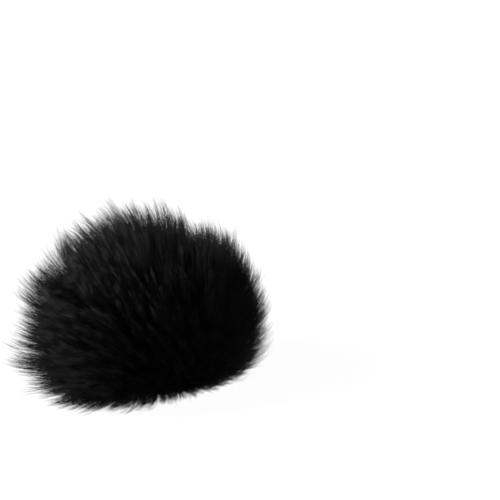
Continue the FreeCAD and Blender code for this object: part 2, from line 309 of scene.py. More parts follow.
def guard_hair(locks, lock_length, rng):
    """Long hair drawn into streaks of uneven length, with its azimuths and its lightness."""
    streaks, _ = coat(STREAKS, rng, GUIDE_STRAY)
    streaks, owner = gathered(streaks, locks, rng, least=0.15, most=0.65, power=1.0)
    missing = GUARD_RANGE * looseness(streaks) * rng.random(STREAKS) ** 1.3
    streak_length = lock_length[owner] * (1 - missing)
    streak_shade = rng.uniform(*STREAK_SHADE, STREAKS)
    guard, azimuth = coat(GUARD_HAIRS, rng, GUARD_STRAY)
    owner = nearest(guard[:, -2], streaks[:, -2])
    strength = rng.uniform(*STREAK_HOLD, STREAKS)[owner]
    strength[rng.random(GUARD_HAIRS) < FREE_HAIRS] = FREE_HOLD
    guard = pull_to(guard, streaks, owner, strength, power=0.8)
    guard = shrunk(guard, streak_length[owner] * rng.uniform(*HAIR_LENGTH, GUARD_HAIRS))
    return guard, azimuth, streak_shade[owner] * rng.uniform(*HAIR_SHADE, GUARD_HAIRS)


def wool_hair(wisps, wisp_length, rng):
    """Denser hair drawn into wisps, each wisp cut to a length of its own, with its azimuths."""
    wool, azimuth = coat(WOOL_HAIRS, rng, WOOL_STRAY)
    owner = nearest(wool[:, -2], wisps[:, -2])
    wool = pull_to(wool, wisps, owner, rng.uniform(*WISP_HOLD, WISPS)[owner], power=0.8)
    missing = looseness(wool) * (WOOL_LESS + WOOL_RANGE * rng.random(WISPS)[owner])
    wool = shrunk(wool, wisp_length[owner] * (1 - missing))
    return cut_back(wool, 1 - 0.2 * rng.random(WOOL_HAIRS) ** 1.5), azimuth


def under_hair(locks, lock_length, rng):
    """Short hair near the cap, with its azimuths."""
    under, azimuth = coat(UNDERFUR, rng, UNDERFUR_STRAY)
    under, owner = gathered(under, locks, rng, least=0.3, most=0.7, power=0.9)
    length = lock_length[owner] * uneven(under, rng, 0.4) * UNDERFUR_SHARE
    return shrunk(under, length), azimuth


def fur_strands(rng):
    """Centre lines, azimuths and lightness of all the hair, guard hair first. The wool and underfur are
    painted darker than the guard hair, as shade inside the coat.
    """
    tufts, _ = coat(TUFTS, rng, TUFT_STRAY)
    tuft_length = uneven(tufts, rng, 0.2)
    locks, _ = coat(LOCKS, rng, LOCK_STRAY)
    locks, owner = gathered(locks, tufts, rng, least=0.4, most=0.75, power=1.2)
    lock_length = tuft_length[owner] * uneven(locks, rng, 0.08)
    wisps, _ = coat(WISPS, rng, GUIDE_STRAY)
    wisps, owner = gathered(wisps, locks, rng, least=0.0, most=0.45, power=1.0)
    wisp_length = lock_length[owner] * uneven(wisps, rng, 0.1)

    guard, guard_azimuth, guard_shade = guard_hair(locks, lock_length, rng)
    wool, wool_azimuth = wool_hair(wisps, wisp_length, rng)
    under, under_azimuth = under_hair(locks, lock_length, rng)
    strands = np.concatenate([guard, wool, under])
    jitter = rng.normal(0, TIP_JITTER, (len(strands), 3))[:, None] * (POINTS_ALONG**1.5)[None, :, None]
    strands = parted(strands + jitter, rng)
    strands[:, :, 2] = lifted(strands[:, :, 2])
    # Wool and underfur painted darker than the guard hair, as shade inside the coat, with random
    # lightness under that cap.
    wool_shade = WOOL_SHADE * rng.random(WOOL_HAIRS + UNDERFUR) ** 2
    azimuth = np.concatenate([guard_azimuth, wool_azimuth, under_azimuth])
    return strands, azimuth, np.concatenate([guard_shade, wool_shade])


def shrunk(strands, kept):
    """The strands drawn in towards their roots, with their bends."""
    roots = strands[:, :1]
    return roots + (strands - roots) * kept[:, None, None]


def cut_back(strands, kept):
    """The strands shortened to a part of their length, along the way they run."""
    places = kept[:, None] * POINTS_ALONG[None, :]
    ring = np.clip(np.searchsorted(POINTS_ALONG, places, side="right") - 1, 0, len(POINTS_ALONG) - 2)
    share = (places - POINTS_ALONG[ring]) / (POINTS_ALONG[ring + 1] - POINTS_ALONG[ring])
    row = np.arange(len(strands))[:, None]
    before, after = strands[row, ring], strands[row, ring + 1]
    return before + (after - before) * share[:, :, None]


def lifted(level):
    """Levels kept above the surface that the windscreen stands on, smoothly."""
    above = level - FLOOR_GAP
    return FLOOR_GAP + 0.5 * (above + np.sqrt(above * above + FLOOR_BLEND))


def strand_faces(rings):
    """Corners of the triangles of one strand: a cap at the root, rings of three points and a tip."""
    tip = (rings - 1) * 3
    faces = [(0, 2, 1)]
    for ring in range(rings - 2):
        for k in range(3):
            a = ring * 3 + k
            b = ring * 3 + (k + 1) % 3
            faces += [(a, b, b + 3), (a, b + 3, a + 3)]
    last = (rings - 2) * 3
    faces += [(last + k, last + (k + 1) % 3, tip) for k in range(3)]
    return np.array(faces)


def strand_mesh(name, strands, root_radius, shade, rng):
    """One closed, tapering, three-sided tube for each strand.

    OFBake holds the strand's lightness and the place along it.
    """
    count, rings = strands.shape[:2]
    way = unit(np.gradient(strands, axis=1))
    side = unit(np.cross(way, unit(rng.normal(size=(count, 1, 3)))))
    other = np.cross(way, side)
    taper = 1 - TAPER * POINTS_ALONG**2
    radius = (root_radius[:, None] * taper[None, :])[:, :, None]
    turns = [2 * math.pi * k / 3 for k in range(3)]
    tube = np.stack(
        [strands + radius * (math.cos(a) * side + math.sin(a) * other) for a in turns], axis=2
    )
    body = tube[:, :-1].reshape(count, -1, 3)
    vertices = np.concatenate([body, strands[:, -1:]], axis=1)
    per_strand = vertices.shape[1]
    first = np.arange(count) * per_strand
    index = (strand_faces(rings)[None] + first[:, None, None]).reshape(-1)
    mesh = bpy.data.meshes.new(name)
    mesh.vertices.add(count * per_strand)
    mesh.vertices.foreach_set("co", (vertices * MM).astype(np.float32).reshape(-1))
    mesh.loops.add(len(index))
    mesh.loops.foreach_set("vertex_index", index.astype(np.int32))
    mesh.polygons.add(len(index) // 3)
    mesh.polygons.foreach_set("loop_start", np.arange(0, len(index), 3, dtype=np.int32))
    mesh.update(calc_edges=True)
    mesh.shade_smooth()
    uv = np.empty((count, per_strand, 2), np.float32)
    uv[:, :, 0] = shade[:, None]
    uv[:, :, 1] = np.append(np.repeat(POINTS_ALONG[:-1], 3), 1.0)[None, :]
    layer = mesh.uv_layers.new(name="OFBake")
    layer.data.foreach_set("uv", uv.reshape(-1, 2)[index].reshape(-1))
    piece = bpy.data.objects.new(name, mesh)
    bpy.context.scene.collection.objects.link(piece)
    return piece


def fur_material():
    """Black hair, each strand with the lightness that its mesh holds."""
    material = bpy.data.materials.new("fur_pile")
    material.use_nodes = True
    nodes, links = material.node_tree.nodes, material.node_tree.links
    shader = nodes["Principled BSDF"]
    strand = nodes.new("ShaderNodeUVMap")
    strand.uv_map = "OFBake"
    parts = nodes.new("ShaderNodeSeparateXYZ")
    links.new(strand.outputs[0], parts.inputs[0])
    ramp = nodes.new("ShaderNodeValToRGB")
    ramp.color_ramp.elements[0].color = DARK_HAIR
    ramp.color_ramp.elements[1].color = LIGHT_HAIR
    links.new(parts.outputs[0], ramp.inputs[0])
    links.new(ramp.outputs[0], shader.inputs["Base Color"])
    shader.inputs["Roughness"].default_value = 0.6
    shader.inputs["Specular IOR Level"].default_value = 0.02
    return material


def make_fur():
    """The coat, in PARTS_PER_GORE pieces for each gore."""
    rng = np.random.default_rng(SEED)
    strands, azimuth, shade = fur_strands(rng)
    radius = rng.uniform(THINNEST_HAIR, THICKEST_HAIR, len(strands))
    radius[:GUARD_HAIRS] *= GUARD_THICKNESS
    material = fur_material()
    quarter = (np.floor((np.degrees(azimuth) + 45) / 90) % 4).astype(int)
    for index, side in enumerate(("right", "back", "left", "front")):
        mine = np.flatnonzero(quarter == index)
        for part, chosen in enumerate(np.array_split(mine, PARTS_PER_GORE), start=1):
            name = f"fur_{side}_{part}"
            piece = strand_mesh(name, strands[chosen], radius[chosen], shade[chosen], rng)
            piece.data.materials.append(material)
            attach(piece, "fur_cover")
            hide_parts(f"pile_{side}")


# ---------------------------------------------------------------- materials

class Recipe:
    """A material's node tree, with short ways to add nodes to it."""

    def __init__(self, name, roughness, specular):
        self.material = bpy.data.materials.new(name)
        self.material.use_nodes = True
        self.tree = self.material.node_tree
        self.shader = self.tree.nodes["Principled BSDF"]
        self.shader.inputs["Roughness"].default_value = roughness
        self.shader.inputs["Specular IOR Level"].default_value = specular

    def put(self, socket, value):
        if isinstance(value, bpy.types.NodeSocket):
            self.tree.links.new(value, socket)
        else:
            socket.default_value = value

    def add(self, kind, inputs):
        node = self.tree.nodes.new(kind)
        for key, value in inputs.items():
            self.put(node.inputs[key], value)
        return node.outputs[0]

    def math(self, operation, first, second=0.0, third=0.5):
        node = self.tree.nodes.new("ShaderNodeMath")
        node.operation = operation
        self.put(node.inputs[0], first)
        self.put(node.inputs[1], second)
        self.put(node.inputs[2], third)
        return node.outputs[0]

    def place(self):
        """The three coordinates of a point of the piece, in metres."""
        split = self.tree.nodes.new("ShaderNodeSeparateXYZ")
        self.put(split.inputs[0], self.coordinates())
        return split.outputs[0], split.outputs[1], split.outputs[2]

    def coordinates(self):
        return self.tree.nodes.new("ShaderNodeTexCoord").outputs["Object"]

    def noise(self, size, detail=2.0):
        """Fine grain, with grains about size millimetres across."""
        inputs = {"Vector": self.coordinates(), "Scale": 1 / (size * MM), "Detail": detail}
        return self.add("ShaderNodeTexNoise", inputs)

    def wave(self, position, pitch):
        """A ripple between 0 and 1, repeated every pitch millimetres of a position in metres."""
        angle = self.math("MULTIPLY_ADD", position, 2 * math.pi / (pitch * MM), 0.0)
        return self.math("MULTIPLY_ADD", self.math("SINE", angle), 0.5, 0.5)

    def round_about(self, radius):
        """Distance round the upright axis, in metres on a ring of radius millimetres."""
        x, y, _ = self.place()
        return self.math("MULTIPLY", self.math("ARCTAN2", y, x), radius * MM)

    def colour(self, share, dark, light):
        """Base colour from dark to light grey as share goes from 0 to 1."""
        ramp = self.tree.nodes.new("ShaderNodeValToRGB")
        ramp.color_ramp.elements[0].color = (dark, dark, dark * 1.04, 1)
        ramp.color_ramp.elements[1].color = (light, light, light * 1.04, 1)
        self.put(ramp.inputs[0], share)
        self.put(self.shader.inputs["Base Color"], ramp.outputs[0])

    def relief(self, height, depth):
        """Bump of depth millimetres for a height between 0 and 1."""
        bump = self.tree.nodes.new("ShaderNodeBump")
        self.put(bump.inputs["Height"], height)
        bump.inputs["Distance"].default_value = depth * MM
        bump.inputs["Strength"].default_value = 1.0
        self.put(self.shader.inputs["Normal"], bump.outputs[0])


def foam_material():
    """Dark grey foam, with painted shade darkening its cells by their depth."""
    recipe = Recipe("foam", roughness=0.95, specular=0.12)
    pore = recipe.tree.nodes.new("ShaderNodeAttribute")
    pore.attribute_name = "pore"
    # Painted shade: the colour is darker the deeper a place is sunk in its cell, times a random grain.
    between = recipe.math("SUBTRACT", 1.0, pore.outputs["Fac"])
    shade = recipe.math("MULTIPLY", between, recipe.noise(1.6))
    recipe.colour(shade, dark=0.004, light=0.075)
    recipe.relief(recipe.noise(0.09, 4.0), depth=0.03)
    return recipe.material


def silicone_material():
    """Satin rubber with faint cloudiness."""
    recipe = Recipe("silicone", roughness=0.42, specular=0.45)
    recipe.colour(recipe.noise(3.0, 5.0), dark=0.014, light=0.028)
    roughness = recipe.math("MULTIPLY_ADD", recipe.noise(0.8, 4.0), 0.4)
    recipe.put(recipe.shader.inputs["Roughness"], roughness)
    recipe.relief(recipe.noise(0.12, 3.0), depth=0.012)
    return recipe.material


def knit_material():
    """Warp knit: upright ribs, each a chain of small loops."""
    recipe = Recipe("knit_backing", roughness=0.9, specular=0.15)
    _, _, level = recipe.place()
    ribs = recipe.wave(recipe.round_about(CAP_RADIUS), pitch=0.62)
    loops = recipe.wave(level, pitch=0.42)
    height = recipe.math("MULTIPLY", ribs, recipe.math("MULTIPLY_ADD", loops, 0.6))
    # Painted shade: the colour follows the relief's height, darker in the valleys between ribs and
    # loops, times a random grain.
    recipe.colour(recipe.math("MULTIPLY", height, recipe.noise(0.5)), dark=0.006, light=0.05)
    recipe.relief(recipe.math("ADD", height, recipe.noise(0.07)), depth=0.12)
    return recipe.material


def tape_material():
    """Twill: slanting ribs round the mouth, crossed by the fine weft."""
    recipe = Recipe("binding_tape", roughness=0.85, specular=0.2)
    _, _, level = recipe.place()
    slanted = recipe.math("ADD", recipe.round_about(MOUTH_RADIUS), level)
    ribs = recipe.wave(slanted, pitch=0.36)
    weft = recipe.wave(level, pitch=0.2)
    height = recipe.math("MULTIPLY", ribs, recipe.math("MULTIPLY_ADD", weft, 0.5))
    # Painted shade: the colour follows the twill's height, darker in the grooves between ribs and weft,
    # times a random grain.
    recipe.colour(recipe.math("MULTIPLY", height, recipe.noise(1.2)), dark=0.006, light=0.06)
    recipe.relief(recipe.math("ADD", height, recipe.noise(0.05)), depth=0.06)
    return recipe.material


def thread_material():
    """Plies of fine fibres."""
    recipe = Recipe("thread", roughness=0.5, specular=0.4)
    recipe.colour(recipe.noise(0.1, 3.0), dark=0.01, light=0.05)
    recipe.relief(recipe.noise(0.03, 2.0), depth=0.01)
    return recipe.material


def tack_material():
    """Thread wound into a knot: slanting turns over the rounded ends."""
    recipe = Recipe("thread_knot", roughness=0.5, specular=0.4)
    _, _, level = recipe.place()
    turns = recipe.wave(recipe.math("ADD", recipe.round_about(0.6), level), pitch=0.24)
    # Painted shade: the colour follows the turns' relief, darker in the gaps between turns, times a
    # random grain.
    recipe.colour(recipe.math("MULTIPLY", turns, recipe.noise(0.1, 3.0)), dark=0.006, light=0.055)
    recipe.relief(turns, depth=0.08)
    return recipe.material


def elastic_material(ring, level):
    """Braid over rubber: yarns that cross as they wind round the cord."""
    recipe = Recipe("elastic_cord", roughness=0.7, specular=0.3)
    x, y, z = recipe.place()
    squares = recipe.math("ADD", recipe.math("MULTIPLY", x, x), recipe.math("MULTIPLY", y, y))
    across = recipe.math("SQRT", squares)
    out = recipe.math("SUBTRACT", across, ring * MM)
    up = recipe.math("SUBTRACT", z, level * MM)
    turn = recipe.math("MULTIPLY", recipe.math("ARCTAN2", up, out), MM * 3 / math.pi)
    run = recipe.round_about(ring)
    one_way = recipe.wave(recipe.math("ADD", run, turn), pitch=0.5)
    other_way = recipe.wave(recipe.math("SUBTRACT", run, turn), pitch=0.5)
    yarns = recipe.math("MAXIMUM", one_way, other_way)
    # Painted shade: the colour follows the braid's relief, darker in the recesses between yarns, times a
    # random grain.
    recipe.colour(recipe.math("MULTIPLY", yarns, recipe.noise(0.2)), dark=0.008, light=0.07)
    recipe.relief(yarns, depth=0.07)
    return recipe.material


def sleeve_material():
    """Crimped plastic: shallow dents along the sleeve."""
    recipe = Recipe("elastic_sleeve", roughness=0.38, specular=0.5)
    dents = recipe.wave(recipe.round_about(8.5), pitch=1.1)
    recipe.colour(recipe.noise(0.6, 3.0), dark=0.025, light=0.05)
    recipe.relief(recipe.math("ADD", dents, recipe.math("MULTIPLY", recipe.noise(0.1), 0.2)), depth=0.09)
    return recipe.material


def dress(node, material):
    """A CAD node shown with a material of its own."""
    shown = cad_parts[node]
    for slot in shown.material_slots:
        slot.material = material
    if not shown.material_slots:
        shown.data.materials.append(material)


# ---------------------------------------------------------------- cover, foam and grip

# The gores: fabric thickness, the drawn-in edge, the shoulder above it and the hole at the crown.
GORE_THICKNESS = 0.9
EDGE_LEVEL = low("backing_right").z
EDGE_TOP = 3.6
SHOULDER_LEVEL = 5.2
EDGE_INSET = 0.6
EDGE_THINNING = 0.11
CROWN_RADIUS = 0.45
HALF_GORE = math.radians(44.7)
GORE_ROW_STEP = 0.3
DOME_ROWS_OF_GORE = 48
COLUMNS_OF_HALF_GORE = 20
CORNER = 0.35
# The seam allowances turned in, which start just above the edge.
FLAP_THICKNESS = 0.8
FLAP_REACH = 0.85
FLAP_FROM = 3.8
# The fabric pulled in along its seams and puckered there, and its gentle waviness elsewhere.
PUCKER_DEPTH = 0.09
PUCKER_REACH = 1.1
PUCKER_PITCH = 1.75
SEAM_SINK = 0.06
GORE_WAVER = 0.03
# Stitches and thread.
STITCH_LEVEL = (low("hem_stitches").z + high("hem_stitches").z) / 2
HEM_STITCHES = 24
SEAM_STITCHES = 10
SEAM_STITCH_TOP = math.radians(72)
THREAD_RADIUS = 0.11
THREAD_LAY = 0.55
# How suddenly a stitch passes through the fabric.
STITCH_SHARPNESS = 5.0
# The binding tape and its gathers.
TAPE_THICKNESS = 0.3
TAPE_INNER = 7.75
TAPE_STEPS = 480
GATHERS = 34
GATHER_BELOW = 0.10
GATHER_ABOVE = 0.04
# Dents that the hem's stitches pull into the tape: depth, and half their height.
DENT_DEPTH = 0.05
DENT_HEIGHT = 0.18
# The foam: a dome on a round wall, with a seat, a groove and a pocket inside.
FOAM_RADIUS = high("foam_core").x
FOAM_LEVEL = high("foam_core").z - FOAM_RADIUS
FOAM_BOTTOM = low("foam_core").z
FOAM_ROUND = 0.8
POCKET_RADIUS = 3.4
POCKET_TOP = 14.0
SEAT_RADIUS = 4.65
SEAT_TOP = 6.0
GROOVE_RADIUS = 5.15
GROOVE = (4.2, 5.2)
POLE = 0.05
FOAM_COLUMNS = 350
FOAM_DOME_ROWS = 92
FOAM_WALL_ROWS = 83
FOAM_RIM_ROWS = 8
# Its open cells: size, disorder, depth, the walls between them and how steep their sides are.
CELL = 0.52
CELL_DISORDER = 0.42
SHALLOWEST_CELL = 0.35
PIT_DEPTH = 0.26
CELL_WALL = 0.05
CELL_SLOPE = 0.16
WAVER_DEPTH = 0.05


def loft(name, rings, wrap):
    """A closed mesh of quads through rings of points.

    With wrap the last ring joins the first. Otherwise the two end rings are closed by pairing their
    points across. OFBake holds the places along and round.
    """
    count, columns = rings.shape[:2]
    spans = count if wrap else count - 1
    row, column = (a.ravel() for a in np.meshgrid(np.arange(spans), np.arange(columns), indexing="ij"))
    corners = [(row, column), (row, column + 1), (row + 1, column + 1), (row + 1, column)]
    quads = np.stack([(r % count) * columns + c % columns for r, c in corners], axis=1)
    uv = np.stack([np.stack([r / spans, c / columns], axis=1) for r, c in corners], axis=1)
    if not wrap:
        near = np.arange(columns // 2 - 1)
        across = [near, near + 1, columns - 2 - near, columns - 1 - near]
        for first, u in ((0, 0.0), ((count - 1) * columns, 1.0)):
            quads = np.concatenate([quads, np.stack(across, axis=1) + first])
            level = np.full(len(near), u)
            ends = np.stack([np.stack([level, c / columns], axis=1) for c in across], axis=1)
            uv = np.concatenate([uv, ends])
    mesh = bpy.data.meshes.new(name)
    mesh.from_pydata((rings.reshape(-1, 3) * MM).tolist(), [], quads.tolist())
    layer = mesh.uv_layers.new(name="OFBake")
    layer.data.foreach_set("uv", uv.reshape(-1).astype(np.float32))
    shape = bmesh.new()
    shape.from_mesh(mesh)
    bmesh.ops.recalc_face_normals(shape, faces=shape.faces)
    shape.to_mesh(mesh)
    shape.free()
    mesh.shade_smooth()
    piece = bpy.data.objects.new(name, mesh)
    bpy.context.scene.collection.objects.link(piece)
    return piece


def hold(piece, body, node, material):
    """A finished piece given its material, its body and the CAD node that it stands for."""
    piece.data.materials.append(material)
    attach(piece, body)
    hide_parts(node)


def evenly(corners, step):
    """Points every step or so along straight runs between corners."""
    points = [np.array(corners[0], float)]
    for start, end in zip(corners[:-1], corners[1:]):
        start, end = np.array(start, float), np.array(end, float)
        count = max(1, math.ceil(np.linalg.norm(end - start) / step))
        points += [start + (end - start) * k / count for k in range(1, count + 1)]
    return np.array(points)


def ripple(places, seed, pitch):
    """Gentle unevenness between -1 and 1, the same each run."""
    rng = np.random.default_rng(seed)
    total = np.zeros(len(places))
    for _ in range(6):
        way = unit(rng.normal(size=3)) * 2 * math.pi / (pitch * rng.uniform(0.7, 1.5))
        total += np.sin(places @ way + rng.uniform(0, 2 * math.pi))
    return total / 6


def gore_rows():
    """(level on the wall, angle up the dome) of each row of a gore, from the raw edge to the crown."""
    corners = [(0, EDGE_LEVEL), (0, EDGE_TOP), (0, SHOULDER_LEVEL), (0, CAP_LEVEL)]
    wall = [level for _, level in evenly(corners, GORE_ROW_STEP)]
    end = math.acos(CROWN_RADIUS / CAP_RADIUS)
    dome = [end * k / DOME_ROWS_OF_GORE for k in range(1, DOME_ROWS_OF_GORE + 1)]
    return [(level, 0.0) for level in wall] + [(CAP_LEVEL, angle) for angle in dome]


def gore_place(level, rise, azimuth, depth):
    """A point of the cap, depth below its outside, at a wall level and an angle up the dome."""
    narrowing = smooth((SHOULDER_LEVEL - level) / (SHOULDER_LEVEL - EDGE_TOP))
    radius = CAP_RADIUS - EDGE_INSET * narrowing - depth * (1 - EDGE_THINNING * narrowing)
    flat, high_up = radius * np.cos(rise), radius * np.sin(rise)
    return np.stack([flat * np.cos(azimuth), flat * np.sin(azimuth), level + high_up], axis=-1)


def gore_section(level, rise):
    """Half of a gore's section, a tuple for each point.

    The tuple holds the distance from the seam or else the share of the half width, then the depth.
    """
    ring = CAP_RADIUS * math.cos(rise)
    reach = FLAP_REACH * smooth((level - FLAP_FROM) / 0.6) * smooth((ring - 1.0) / 1.5)
    squeeze = min(1.0, ring * HALF_GORE * 0.6 / FLAP_THICKNESS)
    across = COLUMNS_OF_HALF_GORE
    outside = [(None, k / across, 0.0) for k in range(across)]
    corner = [(CORNER, None, 0.0), (CORNER * 0.3, None, CORNER * 0.3), (0.0, None, CORNER)]
    floor = GORE_THICKNESS
    tip = floor + reach
    flap = [(0.0, None, (CORNER + tip) / 2), (0.0, None, tip - 0.12 * reach), (0.12, None, tip)]
    flap += [(FLAP_THICKNESS - 0.12, None, tip), (FLAP_THICKNESS, None, tip - 0.12 * reach)]
    flap += [(FLAP_THICKNESS, None, floor + 0.15 * reach), (FLAP_THICKNESS + 0.15, None, floor)]
    inside = [(None, k / across, floor) for k in range(across - 1, -1, -1)]
    points = outside + corner + flap + inside
    return [(None if w is None else w * squeeze, share, depth) for w, share, depth in points]


def gore_ring(level, rise, middle, stitch_phase):
    """One closed ring of a gore's section, with the fabric puckered between its seams' stitches."""
    azimuths, depths, nearness = [], [], []
    for distance, share, depth in gore_section(level, rise):
        ring = max((CAP_RADIUS - depth) * math.cos(rise), 0.2)
        if distance is None:
            margin = CORNER + 0.1 + (0.6 if depth > 0 else 0.0)
            widest = HALF_GORE - min(margin, ring * HALF_GORE * 0.6) / ring
            azimuths.append(share * widest)
        else:
            azimuths.append(HALF_GORE - min(distance / ring, HALF_GORE * 0.8))
        depths.append(depth)
        nearness.append(math.exp(-(HALF_GORE - azimuths[-1]) * ring / PUCKER_REACH))
    azimuths, depths, nearness = np.array(azimuths), np.array(depths), np.array(nearness)
    pucker = PUCKER_DEPTH * nearness * (1 - math.cos(stitch_phase)) * (depths < CORNER)
    depths = depths - pucker + SEAM_SINK * nearness * (depths < CORNER)
    right = gore_place(level, rise, middle + azimuths, depths)
    left = gore_place(level, rise, middle - azimuths, depths)
    return np.concatenate([right, left[-2:0:-1]])


def make_gores():
    """The four knitted gores, each with its seam allowances turned in."""
    material = knit_material()
    rows = gore_rows()
    for side, middle in SIDE_AZIMUTH.items():
        rings = []
        for level, rise in rows:
            run = level - SHOULDER_LEVEL + CAP_RADIUS * rise
            phase = 2 * math.pi * run / PUCKER_PITCH
            rings.append(gore_ring(level, rise, math.radians(middle), phase))
        rings = np.array(rings)
        flat = rings.reshape(-1, 3)
        outward = unit(flat * np.array([1.0, 1.0, 0.0]))
        away = np.clip(flat[:, 2:3] - SHOULDER_LEVEL, 0, 1)
        flat = flat + outward * away * GORE_WAVER * ripple(flat, SEED + 1, 3.0)[:, None]
        piece = loft(f"gore_{side}", flat.reshape(rings.shape), False)
        hold(piece, "fur_cover", f"backing_{side}", material)


def tape_section():
    """(offset from the tape's middle ring, level) round the folded tape's section, and its way out."""
    bend = (MOUTH_RADIUS - TAPE_INNER - TAPE_THICKNESS) / 2
    fold_level = low("hem_binding").z + TAPE_THICKNESS / 2 + bend
    top = high("hem_binding").z
    legs = [(bend, level) for level in np.linspace(top - 0.1, fold_level, 12)]
    turns = np.linspace(0, math.pi, 13)[1:-1]
    fold = [(bend * math.cos(a), fold_level - bend * math.sin(a)) for a in turns]
    line = np.array(legs + fold + [(-r, level) for r, level in reversed(legs)])
    way = unit(np.gradient(line, axis=0))
    out = np.stack([-way[:, 1], way[:, 0]], axis=1)
    half = TAPE_THICKNESS / 2
    ends = [line[-1] + way[-1] * 0.1, line[0] - way[0] * 0.1]
    section = np.concatenate([line + out * half, ends[:1], (line - out * half)[::-1], ends[1:]])
    return section, np.concatenate([out, out[-1:] * 0, out[::-1], out[:1] * 0])


def make_binding():
    """The tape folded round the raw edge and the elastic, gathered at its fold."""
    middle = (MOUTH_RADIUS + TAPE_INNER) / 2
    section, outs = tape_section()
    levels = section[:, 1]
    below = smooth((STITCH_LEVEL - levels) / 1.0)
    above = smooth((levels - STITCH_LEVEL) / 0.5)
    at_stitch = np.exp(-((levels - STITCH_LEVEL) / DENT_HEIGHT) ** 2)
    rings = []
    for k in range(TAPE_STEPS):
        turn = 2 * math.pi * k / TAPE_STEPS
        wander = 0.35 * math.sin(5 * turn + 1) + 0.3 * math.sin(9 * turn + 2)
        gather = math.sin(GATHERS * turn + wander * 2)
        stitch = 0.5 + 0.5 * math.cos(HEM_STITCHES * turn)
        shift = gather * (GATHER_BELOW * below + GATHER_ABOVE * above)
        shift = shift - DENT_DEPTH * stitch**4 * at_stitch
        at = section + outs * shift[:, None]
        radius = middle + at[:, 0]
        rings.append(np.stack([radius * math.cos(turn), radius * math.sin(turn), at[:, 1]], axis=1))
    piece = loft("binding_folded", np.array(rings), True)
    hold(piece, "fur_cover", "hem_binding", tape_material())


def thread_tubes(paths, reference):
    """Two plies twisted about each other along each path, as rings of points for loft."""
    corners = [2 * math.pi * k / 6 for k in range(6)]
    radius = THREAD_RADIUS / 2
    tubes = []
    for path, up in zip(paths, reference):
        run = np.concatenate([[0], np.cumsum(np.linalg.norm(np.diff(path, axis=0), axis=1))])
        lay = max(1, round(run[-1] / THREAD_LAY))
        way = unit(np.gradient(path, axis=0))
        side = unit(np.cross(way, up))
        up = np.cross(side, way)
        for ply in (0.0, math.pi):
            turn = run / run[-1] * lay * 2 * math.pi + ply
            centre = path + radius * (np.cos(turn)[:, None] * side + np.sin(turn)[:, None] * up)
            ring = [centre + radius * (math.cos(a) * side + math.sin(a) * up) for a in corners]
            tubes.append(np.stack(ring, axis=1))
    return tubes


def switched(position):
    """Smoothed square wave between -1 and 1, with a crossing at each whole number of position."""
    return np.tanh(STITCH_SHARPNESS * np.sin(math.pi * position)) / math.tanh(STITCH_SHARPNESS)


def joined(name, tubes, wrap):
    """One mesh of several lofted tubes."""
    parts = [loft(f"{name}_{index}", tube, wrap) for index, tube in enumerate(tubes)]
    with bpy.context.temp_override(
        active_object=parts[0], object=parts[0], selected_objects=parts, selected_editable_objects=parts
    ):
        bpy.ops.object.join()
    parts[0].name = name
    parts[0].data.name = name
    return parts[0]


def make_hem_stitches(material):
    """One running stitch round the mouth, outside and inside the binding by turns."""
    steps = HEM_STITCHES * 60
    turn = np.arange(steps) / steps * 2 * math.pi
    outside = high("hem_stitches").x
    inside = TAPE_INNER - 0.07
    wave = switched(turn * HEM_STITCHES / (2 * math.pi))
    radius = (outside + inside) / 2 + (outside - inside) / 2 * wave
    path = on_ring(radius, turn, np.full(steps, STITCH_LEVEL))
    up = np.broadcast_to(np.array([0.0, 0.0, 1.0]), path.shape)
    closed = np.concatenate([path, path[:1]])
    tubes = thread_tubes([closed], [np.concatenate([up, up[:1]])])
    piece = joined("hem_thread", [tube[:-1] for tube in tubes], True)
    hold(piece, "fur_cover", "hem_stitches", material)


def make_seam_stitches(material):
    """A running stitch along each seam, to and fro through its two allowances."""
    depth = GORE_THICKNESS + FLAP_REACH / 2
    ring = CAP_RADIUS - depth
    wall = CAP_LEVEL - SHOULDER_LEVEL
    length = wall + ring * SEAM_STITCH_TOP
    run = np.linspace(0, length, SEAM_STITCHES * 40)
    level = np.minimum(SHOULDER_LEVEL + run, CAP_LEVEL)
    rise = np.maximum(run - wall, 0) / ring
    swing = (run + 0.5 * length / SEAM_STITCHES) / length * SEAM_STITCHES
    sideways = (FLAP_THICKNESS + 0.09) * switched(swing)
    flat = np.cos(rise)
    paths, ups = [], []
    for seam in range(4):
        azimuth = math.radians(45 + 90 * seam) + sideways / (ring * flat)
        paths.append(gore_place(level, rise, azimuth, np.full(len(run), depth)))
        ups.append(on_ring(flat, azimuth, np.sin(rise)))
    piece = joined("seam_thread", thread_tubes(paths, ups), False)
    hold(piece, "fur_cover", "seam_stitches", material)


def foam_profile():
    """(radius, level) round the foam's section, from the crown down the outside and up the pocket."""
    dome = [
        (max(FOAM_RADIUS * math.sin(a), POLE), FOAM_LEVEL + FOAM_RADIUS * math.cos(a))
        for a in np.linspace(0, math.pi / 2, FOAM_DOME_ROWS)
    ]
    wall_levels = np.linspace(FOAM_LEVEL, FOAM_BOTTOM + FOAM_ROUND, FOAM_WALL_ROWS + 1)[1:]
    wall = [(FOAM_RADIUS, level) for level in wall_levels]
    inset = FOAM_RADIUS - FOAM_ROUND
    rim = [
        (inset + FOAM_ROUND * math.cos(a), FOAM_BOTTOM + FOAM_ROUND * (1 - math.sin(a)))
        for a in np.linspace(0, math.pi / 2, FOAM_RIM_ROWS + 1)[1:]
    ]
    seat = [(SEAT_RADIUS, FOAM_BOTTOM), (SEAT_RADIUS, GROOVE[0]), (GROOVE_RADIUS, GROOVE[0])]
    seat += [(GROOVE_RADIUS, GROOVE[1]), (SEAT_RADIUS, GROOVE[1]), (SEAT_RADIUS, SEAT_TOP)]
    pocket = [(POCKET_RADIUS, SEAT_TOP), (POCKET_RADIUS, POCKET_TOP), (POLE, POCKET_TOP)]
    inside = evenly([rim[-1]] + seat + pocket, 0.45)[1:]
    return np.concatenate([dome, wall, rim, inside])


